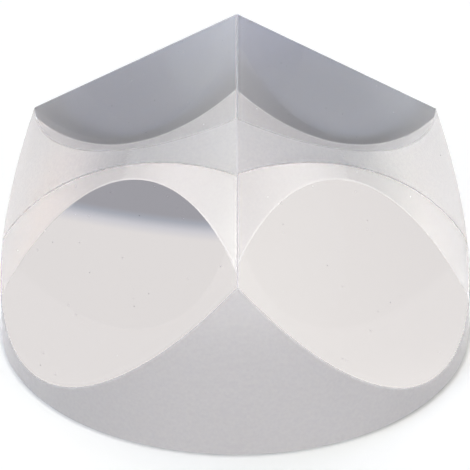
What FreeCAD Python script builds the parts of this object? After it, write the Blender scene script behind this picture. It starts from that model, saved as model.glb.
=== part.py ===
# Corner cube prism: a trihedral retroreflector cut from one cylinder of optical glass.
# It stands on its round entrance face. Above that, three polished faces meet at right
# angles in the apex, like the corner of a cube, and each cuts a scallop into the
# fine-ground wall. Millimetres and degrees. The origin is the centre of the entrance
# face, +Z points to the apex, and one ridge lies over -Y.
import FreeCAD, Part

import math
import os

from FreeCAD import Placement, Rotation, Vector

# Driving dimensions
diameter = 50.8  # of the fine-ground wall
wall_under_scallop = 2.18  # height of full round wall left below each scallop
entrance_chamfer = 0.25  # each leg of the 45 degree chamfer round the entrance face
edge_bevel = 0.11  # each leg of the bevel along the ridges and round the scallops
first_ridge_azimuth = -90.0  # measured about +Z from +X, so this ridge lies over -Y

# The corner of a cube that stands on its body diagonal
reflecting_faces = 3
face_spacing = 360.0 / reflecting_faces
face_tilt = math.degrees(math.acos(1 / math.sqrt(3)))  # from a face's normal to the axis

# Worked out from the dimensions above
radius = diameter / 2
face_rise = radius * math.tan(math.radians(face_tilt))  # a face's climb from wall to axis
height = wall_under_scallop + face_rise  # 38.1 to the apex, before its bevels
apex = Vector(0, 0, height)
axis = Vector(0, 0, 1)
block_side = 2 * (height + diameter)  # more than anything that a block cuts


def face_normal(azimuth):
    """The outward normal of the reflecting face that leans towards the azimuth."""
    turn, lean = math.radians(azimuth), math.radians(face_tilt)
    return Vector(
        math.sin(lean) * math.cos(turn),
        math.sin(lean) * math.sin(turn),
        math.cos(lean),
    )


def glass_behind(normal):
    """A block that fills the space behind the plane through the apex."""
    corner = Vector(-block_side / 2, -block_side / 2, -block_side)
    block = Part.makeBox(block_side, block_side, block_side, corner)
    block.Placement = Placement(apex, Rotation(axis, normal))
    return block


def ground_blank():
    """The ground cylinder. Its seam is turned away from where the ridges will end."""
    blank = Part.makeCylinder(radius, height)
    blank.rotate(Vector(), axis, first_ridge_azimuth + face_spacing / 4)
    return blank


def cut_reflecting_faces(blank):
    """Three planes through the apex, each halfway round between two ridges."""
    solid = blank
    for turn in range(reflecting_faces):
        azimuth = first_ridge_azimuth + face_spacing * (turn + 0.5)
        solid = solid.common(glass_behind(face_normal(azimuth)))
    return solid.Solids[0]


def edges_of_reflecting_faces(solid):
    """The ridges between the reflecting faces, and the scallops where they meet the wall."""
    faces = [
        face
        for face in solid.Faces
        if isinstance(face.Surface, Part.Plane) and face.CenterOfMass.z > wall_under_scallop
    ]
    return [
        edge
        for edge in solid.Edges
        if any(edge.isSame(other) for face in faces for other in face.Edges)
    ]


def entrance_rim(solid):
    """The circle where the wall meets the entrance face."""
    return [edge for edge in solid.Edges if edge.BoundBox.ZMax < wall_under_scallop / 2]


def make_prism():
    solid = cut_reflecting_faces(ground_blank())
    solid = solid.makeChamfer(edge_bevel, edges_of_reflecting_faces(solid))
    solid = solid.makeChamfer(entrance_chamfer, entrance_rim(solid))
    return solid.Solids[0]


os.makedirs("parts", exist_ok=True)
prism = make_prism()
prism.exportStep("parts/prism.step")
print(f"prism: {prism.Volume / 1000:.3f} cm3, {len(prism.Faces)} faces, valid {prism.isValid()}")
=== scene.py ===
import math

import bpy
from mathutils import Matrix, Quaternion, Vector


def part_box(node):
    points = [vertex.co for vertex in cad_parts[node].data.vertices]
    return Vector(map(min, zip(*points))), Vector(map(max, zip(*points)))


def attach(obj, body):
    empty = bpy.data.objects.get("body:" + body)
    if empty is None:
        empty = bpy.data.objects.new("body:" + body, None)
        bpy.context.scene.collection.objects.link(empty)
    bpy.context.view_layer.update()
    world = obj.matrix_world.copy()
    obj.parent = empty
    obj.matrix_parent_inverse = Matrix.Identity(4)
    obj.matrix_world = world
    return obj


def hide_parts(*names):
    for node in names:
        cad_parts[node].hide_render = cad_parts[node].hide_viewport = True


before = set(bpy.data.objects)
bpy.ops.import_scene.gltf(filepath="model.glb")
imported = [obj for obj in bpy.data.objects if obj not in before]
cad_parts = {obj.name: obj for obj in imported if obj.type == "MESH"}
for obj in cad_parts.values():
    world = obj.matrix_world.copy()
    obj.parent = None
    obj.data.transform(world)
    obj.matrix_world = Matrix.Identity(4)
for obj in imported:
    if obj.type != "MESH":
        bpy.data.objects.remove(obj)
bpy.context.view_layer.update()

# Corner cube prism on a pale table, in a soft studio.
# Metres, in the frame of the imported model: the entrance face is on z = 0, the apex points up
# and one ridge lies over -Y, towards the camera. Angles are in degrees.

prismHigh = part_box("prism")[1]
mm = 0.001
print("model loaded:", ", ".join(sorted(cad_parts)))


def deselectAll():
    bpy.ops.object.select_all(action="DESELECT")


def linear(hexColour):
    channels = [int(hexColour[i:i + 2], 16) / 255 for i in (1, 3, 5)]
    return [c / 12.92 if c <= 0.04045 else ((c + 0.055) / 1.055) ** 2.4 for c in channels] + [1]


def addNode(tree, kind, settings=None, links=None):
    node = tree.nodes.new(kind)
    for name, value in (settings or {}).items():
        if isinstance(name, int) or name in node.inputs:
            node.inputs[name].default_value = value
        else:
            setattr(node, name, value)
    for name, source in (links or {}).items():
        tree.links.new(source, node.inputs[name])
    return node


def emptyTree(owner):
    owner.use_nodes = True
    owner.node_tree.nodes.clear()
    return owner.node_tree


# Camera: a long lens, low over the ridge that faces it

camera = {
    "lens": 273.99,  # mm
    "sensor": 36,  # mm
    "clipStart": 10 * mm,
    "distance": 384.63 * mm,
    "elevation": 30.366,
    "azimuth": -0.532,  # from -Y
    "roll": 0.416,
    "aimSide": -0.052 * mm,  # where it points, beside the prism's axis and above the table
    "aimHeight": 11.413 * mm,
}


def placeCamera():
    c = camera
    up, turn = math.radians(c["elevation"]), math.radians(c["azimuth"])
    side = Vector((math.cos(turn), math.sin(turn), 0))
    toCamera = Vector((math.sin(turn) * math.cos(up), -math.cos(turn) * math.cos(up), math.sin(up)))
    lens = bpy.data.cameras.new("camera")
    lens.sensor_width = c["sensor"]
    lens.lens = c["lens"]
    lens.clip_start = c["clipStart"]
    eye = bpy.data.objects.new("camera", lens)
    eye.location = side * c["aimSide"] + Vector((0, 0, c["aimHeight"])) + toCamera * c["distance"]
    eye.rotation_mode = "QUATERNION"
    eye.rotation_quaternion = toCamera.to_track_quat("Z", "Y") @ Quaternion(
        (0, 0, 1), math.radians(c["roll"])
    )
    bpy.context.scene.collection.objects.link(eye)
    bpy.context.scene.camera = eye


placeCamera()
print("camera placed")


# Glass

glass = {
    "colour": "#ffffff",
    "ior": 1.5168,  # borosilicate crown
    "dust": "#a8a8ab",
    "dustSpacing": 2.2 * mm,  # about ten specks on a face, nearly all too small to notice
    "dustRadius": (0.04 * mm, 0.08 * mm),  # where a speck is full and where it ends
    "satinRoughness": 0.45,
    "milkyShare": 0.67,  # the rest is satin
    "milkyReflects": 0.4,  # the rest of the milky share goes through
    "mottle": 0.4 * mm,  # clusters of pits; one pit of the grit, about 0.03 mm, is too fine to show
    "mottleDetail": 2,
    "mottleShades": ((0.3, "#f6f6f8"), (0.7, "#ffffff")),
    "pitDepth": 0.004 * mm,
}


def makePolishedGlass():
    # Polished borosilicate crown: no colour and no haze, all its looks come from refraction.
    # A few specks of dust show pale on dark and dark on pale
    material = bpy.data.materials.new("crown_glass_polished")
    tree = emptyTree(material)
    clear = addNode(tree, "ShaderNodeBsdfPrincipled", {
        "Base Color": linear(glass["colour"]),
        "Roughness": 0,
        "IOR": glass["ior"],
        "Transmission Weight": 1,
    })
    place = addNode(tree, "ShaderNodeTexCoord").outputs["Object"]
    cells = addNode(tree, "ShaderNodeTexVoronoi", {"Scale": 1 / glass["dustSpacing"]}, {
        "Vector": place,
    })
    full, end = [radius / glass["dustSpacing"] for radius in glass["dustRadius"]]
    speck = addNode(tree, "ShaderNodeMapRange", {
        "From Min": end,
        "From Max": full,
    }, {"Value": cells.outputs["Distance"]})
    dust = addNode(tree, "ShaderNodeBsdfDiffuse", {"Color": linear(glass["dust"])})
    both = addNode(tree, "ShaderNodeMixShader", links={
        "Fac": speck.outputs["Result"],
        1: clear.outputs["BSDF"],
        2: dust.outputs["BSDF"],
    })
    addNode(tree, "ShaderNodeOutputMaterial", links={"Surface": both.outputs["Shader"]})
    return material


def makeGroundGlass():
    # The same glass ground with fine grit: a satin, milky grey that shows light but no image.
    # The pits and cracks scatter like milk, and the flatter spots between them stay satin
    material = bpy.data.materials.new("crown_glass_fine_ground")
    tree = emptyTree(material)
    place = addNode(tree, "ShaderNodeTexCoord").outputs["Object"]
    mottle = addNode(tree, "ShaderNodeTexNoise", {
        "Scale": 1 / glass["mottle"],
        "Detail": glass["mottleDetail"],
    }, {"Vector": place}).outputs["Fac"]
    shade = addNode(tree, "ShaderNodeValToRGB", links={"Fac": mottle})
    for stop, (position, colour) in zip(shade.color_ramp.elements, glass["mottleShades"]):
        stop.position = position
        stop.color = linear(colour)
    pits = addNode(tree, "ShaderNodeBump", {"Distance": glass["pitDepth"]}, {"Height": mottle})
    satin = addNode(tree, "ShaderNodeBsdfPrincipled", {
        "Base Color": linear(glass["colour"]),
        "Roughness": glass["satinRoughness"],
        "IOR": glass["ior"],
        "Transmission Weight": 1,
    }, {"Normal": pits.outputs["Normal"]})
    through = addNode(tree, "ShaderNodeBsdfTranslucent", links={"Color": shade.outputs["Color"]})
    back = addNode(tree, "ShaderNodeBsdfDiffuse", links={"Color": shade.outputs["Color"]})
    milky = addNode(tree, "ShaderNodeMixShader", {"Fac": glass["milkyReflects"]}, {
        1: through.outputs["BSDF"],
        2: back.outputs["BSDF"],
    })
    both = addNode(tree, "ShaderNodeMixShader", {"Fac": glass["milkyShare"]}, {
        1: satin.outputs["BSDF"],
        2: milky.outputs["Shader"],
    })
    addNode(tree, "ShaderNodeOutputMaterial", links={"Surface": both.outputs["Shader"]})
    return material


# Prism

prismSizes = {
    "wallUnderScallop": 2.18 * mm,
    "entranceChamfer": 0.12 * mm,  # as thin as its line in the photo, half of the solid's
    "edgeBevel": 0.11 * mm,
    "wallSegments": 240,
    "reflectingFaces": 3,
    "firstFaceAzimuth": -30,  # from +X, so that a ridge lies over -Y
    "cutThreshold": 1e-7,
    "leaning": (0.1, 0.9),  # how far the normal of a reflecting face points up
    "onTable": 0.01 * mm,  # what is lower belongs to the entrance face
    "smallestPolished": 100 * mm * mm,  # every facet of the wall and the bevels is smaller
    "smoothUnder": 6,
}


def selectEdges(piece, wanted):
    # In edit mode afterwards, with only the wanted edges selected
    bpy.ops.object.mode_set(mode="EDIT")
    bpy.ops.mesh.select_mode(type="EDGE")
    bpy.ops.mesh.select_all(action="DESELECT")
    bpy.ops.object.mode_set(mode="OBJECT")
    for edge in piece.data.edges:
        edge.select = wanted(edge)
    bpy.ops.object.mode_set(mode="EDIT")


def cutReflectingFaces(tilt, apexHeight):
    # Planes through the apex, each halfway between two ridges
    s = prismSizes
    for turn in range(s["reflectingFaces"]):
        azimuth = math.radians(s["firstFaceAzimuth"] + 360 / s["reflectingFaces"] * turn)
        outward = (
            math.sin(tilt) * math.cos(azimuth),
            math.sin(tilt) * math.sin(azimuth),
            math.cos(tilt),
        )
        bpy.ops.mesh.select_all(action="SELECT")
        bpy.ops.mesh.bisect(
            plane_co=(0, 0, apexHeight),
            plane_no=outward,
            use_fill=True,
            clear_outer=True,
            threshold=s["cutThreshold"],
        )


def bevelEdges(piece):
    # First the ridges and the rims of the scallops, then the rim of the entrance face
    s = prismSizes
    least, most = s["leaning"]
    reflecting = {
        key
        for face in piece.data.polygons
        if least < face.normal.z < most
        for key in face.edge_keys
    }
    selectEdges(piece, lambda edge: edge.key in reflecting)
    bpy.ops.mesh.bevel(offset_type="OFFSET", offset=s["edgeBevel"], segments=1, clamp_overlap=False)
    bpy.ops.object.mode_set(mode="OBJECT")
    selectEdges(piece, lambda edge: all(
        piece.data.vertices[end].co.z < s["onTable"] for end in edge.vertices
    ))
    bpy.ops.mesh.bevel(offset_type="OFFSET", offset=s["entranceChamfer"], segments=1)
    bpy.ops.object.mode_set(mode="OBJECT")


def makePrism():
    s = prismSizes
    radius = prismHigh.x
    tilt = math.acos(1 / math.sqrt(3))  # the corner of a cube on its body diagonal
    apexHeight = s["wallUnderScallop"] + radius * math.tan(tilt)
    deselectAll()
    bpy.ops.mesh.primitive_cylinder_add(
        vertices=s["wallSegments"], radius=radius, depth=apexHeight, location=(0, 0, apexHeight / 2)
    )
    prism = bpy.context.object
    prism.name = prism.data.name = "prism_glass"
    bpy.ops.object.transform_apply(location=True, rotation=False, scale=False)
    bpy.ops.object.mode_set(mode="EDIT")
    cutReflectingFaces(tilt, apexHeight)
    bpy.ops.object.mode_set(mode="OBJECT")
    bevelEdges(prism)

    for material in (makePolishedGlass(), makeGroundGlass()):
        prism.data.materials.append(material)
    for face in prism.data.polygons:
        face.material_index = 0 if face.area > s["smallestPolished"] else 1
    deselectAll()
    prism.select_set(True)
    bpy.ops.object.shade_smooth_by_angle(angle=math.radians(s["smoothUnder"]))
    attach(prism, "root")
    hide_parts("prism")
    return prism


prism = makePrism()
print("prism made:", len(prism.data.polygons), "faces")


# Table

table = {
    "gap": 0.03 * mm,  # air under the entrance face, which keeps it a mirror from inside
    "size": 3,
    "colour": "#d2d3d5",
    "glow": "#b7b8b1",  # what lifts the open table to white
    "dimmed": {  # where there is less glow: from the least share that is left to all of it
        "foot": {"centre": (0, 0, 0), "radii": (25.2 * mm, 25.9 * mm), "least": 0},
        # painted shadow: less glow in a soft round area behind the prism, not cast by any lamp
        "paintedShadow": {"centre": (0, 22 * mm, 0), "radii": (17 * mm, 27 * mm), "least": 0.3},
    },
}


def makeBoard():
    # Matt pale board. What the camera and the glass see of it is lifted to white, less so in a
    # painted shadow, a soft round area behind the prism that no lamp casts, and not at all under
    # its foot, where only light through the glass falls
    material = bpy.data.materials.new("table_matt_board")
    tree = emptyTree(material)
    board = addNode(tree, "ShaderNodeBsdfDiffuse", {"Color": linear(table["colour"])})
    place = addNode(tree, "ShaderNodeTexCoord").outputs["Object"]
    shares = []
    for area in table["dimmed"].values():
        away = addNode(tree, "ShaderNodeVectorMath", {"operation": "DISTANCE", 1: area["centre"]}, {
            0: place,
        })
        shares.append(addNode(tree, "ShaderNodeMapRange", {
            "From Min": area["radii"][0],
            "From Max": area["radii"][1],
            "To Min": area["least"],
        }, {"Value": away.outputs["Value"]}))
    share = addNode(tree, "ShaderNodeMath", {"operation": "MINIMUM"}, {
        0: shares[0].outputs["Result"],
        1: shares[1].outputs["Result"],
    })
    path = addNode(tree, "ShaderNodeLightPath")
    seen = path.outputs["Is Camera Ray"]
    for ray in ("Is Glossy Ray", "Is Transmission Ray"):
        seen = addNode(tree, "ShaderNodeMath", {"operation": "MAXIMUM"}, {
            0: seen,
            1: path.outputs[ray],
        }).outputs["Value"]
    strength = addNode(tree, "ShaderNodeMath", {"operation": "MULTIPLY"}, {
        0: share.outputs["Value"],
        1: seen,
    })
    glow = addNode(tree, "ShaderNodeEmission", {"Color": linear(table["glow"])}, {
        "Strength": strength.outputs["Value"],
    })
    both = addNode(tree, "ShaderNodeAddShader", links={
        0: board.outputs["BSDF"],
        1: glow.outputs["Emission"],
    })
    addNode(tree, "ShaderNodeOutputMaterial", links={"Surface": both.outputs["Shader"]})
    return material


def makeTable():
    deselectAll()
    bpy.ops.mesh.primitive_plane_add(size=table["size"], location=(0, 0, -table["gap"]))
    top = bpy.context.object
    top.name = "table_top"
    bpy.ops.object.transform_apply(location=True, rotation=False, scale=False)
    top.data.materials.append(makeBoard())


makeTable()
print("table made")


# Studio: each light is a soft round patch of the world. It is given by where its middle is
# (azimuth from +Y towards +X, then elevation), by the angles from there at which it starts and
# is full, and by its colour in linear light, where 1 is white

studio = {
    "backPanel": {"at": (0, 55), "edge": (42, 36), "colour": (0.740, 0.702, 0.667)},
    "backPanelLeft": {"at": (-35, 55), "edge": (18, 6), "colour": (1.76, 1.66, 1.54)},
    "backPanelRight": {"at": (35, 55), "edge": (18, 6), "colour": (1.41, 1.26, 1.22)},
    "backFill": {"at": (0, 12), "edge": (60, 30), "colour": (0.080, 0.085, 0.115)},
    "overheadLeft": {"at": (-90, 75), "edge": (18, 6), "colour": (2.62, 2.90, 4.25)},
    "leftBoxLow": {"at": (-125, 8), "edge": (20, 8), "colour": (2.73, 2.28, 2.15)},
    "leftBoxMiddle": {"at": (-125, 28), "edge": (20, 8), "colour": (2.44, 2.50, 2.24)},
    "leftBoxHigh": {"at": (-125, 48), "edge": (20, 8), "colour": (1.15, 1.22, 1.24)},
    "rightBoxLow": {"at": (125, 8), "edge": (20, 8), "colour": (1.90, 1.34, 0.89)},
    "rightBoxMiddle": {"at": (125, 28), "edge": (20, 8), "colour": (1.84, 1.76, 1.85)},
    "leftFill": {"at": (-60, 35), "edge": (25, 8), "colour": (0.28, 0.27, 0.23)},
    "sideFill": {"at": (-75, 10), "edge": (35, 15), "colour": (0.10, 0.10, 0.10)},
    "frontFill": {"at": (180, 18), "edge": (30, 12), "colour": (0.10, 0.10, 0.10)},
    "rightFill": {"at": (90, 15), "edge": (20, 8), "colour": (1.94, 2.22, 2.42)},
}
greyCard = {  # hangs in front of the back panel and dims what is behind it
    "at": (29.56, 20.07),
    "edge": (15.24, 14.90),
    "stops": (  # from outside the card to inside it, bluish where its edge blurs
        (0, (1, 1, 1, 1)),
        (0.4, (0.81, 0.835, 0.90, 1)),
        (0.75, (0.51, 0.555, 0.635, 1)),
        (1, (0.452, 0.465, 0.513, 1)),
    ),
}


def directionOf(light):
    azimuth, elevation = [math.radians(angle) for angle in light["at"]]
    return (
        math.cos(elevation) * math.sin(azimuth),
        math.cos(elevation) * math.cos(azimuth),
        math.sin(elevation),
    )


def addPatch(tree, place, light, fade):
    # 0 outside the patch, 1 inside
    start, full = [math.cos(math.radians(angle)) for angle in light["edge"]]
    near = addNode(tree, "ShaderNodeVectorMath", {
        "operation": "DOT_PRODUCT",
        1: directionOf(light),
    }, {0: place})
    return addNode(tree, "ShaderNodeMapRange", {
        "interpolation_type": fade,
        "From Min": start,
        "From Max": full,
    }, {"Value": near.outputs["Value"]}).outputs["Result"]


def makeStudio():
    world = bpy.data.worlds.new("studio")
    bpy.context.scene.world = world
    tree = emptyTree(world)
    place = addNode(tree, "ShaderNodeTexCoord").outputs["Generated"]
    total = None
    for light in studio.values():
        links = {0: addPatch(tree, place, light, "SMOOTHSTEP")}
        if total:
            links[2] = total
        total = addNode(tree, "ShaderNodeVectorMath", {
            "operation": "MULTIPLY_ADD",
            1: light["colour"],
        }, links).outputs["Vector"]
    card = addNode(tree, "ShaderNodeValToRGB", links={
        "Fac": addPatch(tree, place, greyCard, "LINEAR"),
    })
    ramp = card.color_ramp.elements
    for position, colour in greyCard["stops"][1:-1]:
        ramp.new(position)
    for stop, (position, colour) in zip(ramp, greyCard["stops"]):
        stop.position = position
        stop.color = colour
    total = addNode(tree, "ShaderNodeVectorMath", {"operation": "MULTIPLY"}, {
        0: total,
        1: card.outputs["Color"],
    })
    soft = addNode(tree, "ShaderNodeBackground", links={"Color": total.outputs["Vector"]})
    white = addNode(tree, "ShaderNodeBackground", {"Color": linear("#ffffff")})
    path = addNode(tree, "ShaderNodeLightPath")
    seen = addNode(tree, "ShaderNodeMixShader", links={
        "Fac": path.outputs["Is Camera Ray"],
        1: soft.outputs["Background"],
        2: white.outputs["Background"],
    })
    addNode(tree, "ShaderNodeOutputWorld", links={"Surface": seen.outputs["Shader"]})


makeStudio()
print("studio made")

glassBounces = 32  # light turns many times inside the prism
groundBounces = 6
scene = bpy.context.scene
scene.view_settings.view_transform = "Standard"
scene.cycles.max_bounces = glassBounces
scene.cycles.glossy_bounces = glassBounces
scene.cycles.transmission_bounces = glassBounces
scene.cycles.diffuse_bounces = groundBounces
scene.cycles.blur_glossy = 0  # polished faces stay sharp behind the ground wall
